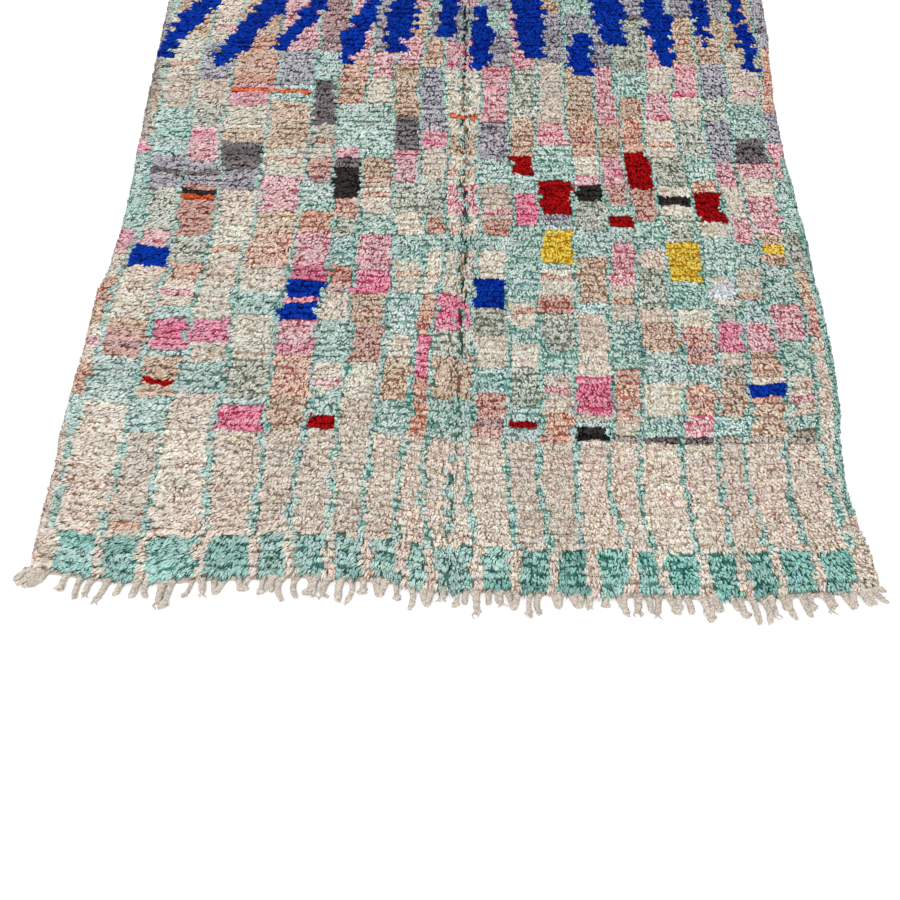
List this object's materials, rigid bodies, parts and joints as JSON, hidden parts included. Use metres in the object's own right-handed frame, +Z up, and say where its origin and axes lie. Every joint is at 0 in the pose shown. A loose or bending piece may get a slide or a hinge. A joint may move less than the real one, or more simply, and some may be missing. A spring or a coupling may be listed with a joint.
{
  "type": "boujaad rug",
  "caption": "Hand-knotted shaggy wool rug lying flat, patchwork of soft colour blocks, banded near end, knotted warp-end fringe.",
  "frame": {"origin": "on the floor, in the middle of the box round the whole rug with its fringe", "axes": "+X across the rug, to the right seen from the fringed near end; +Y along the rug, away from the fringe; +Z up out of the pile"},
  "size_m": [1.5744, 2.533, 0.022],
  "materials": {
    "wool_pile": "matte knotted wool pile in many dyed colours",
    "warp_yarn": "matte undyed twisted wool yarn"
  },
  "bodies": {
    "root": {"rug": "wool_pile", "near_fringe": "warp_yarn"}
  },
  "joints": []
}
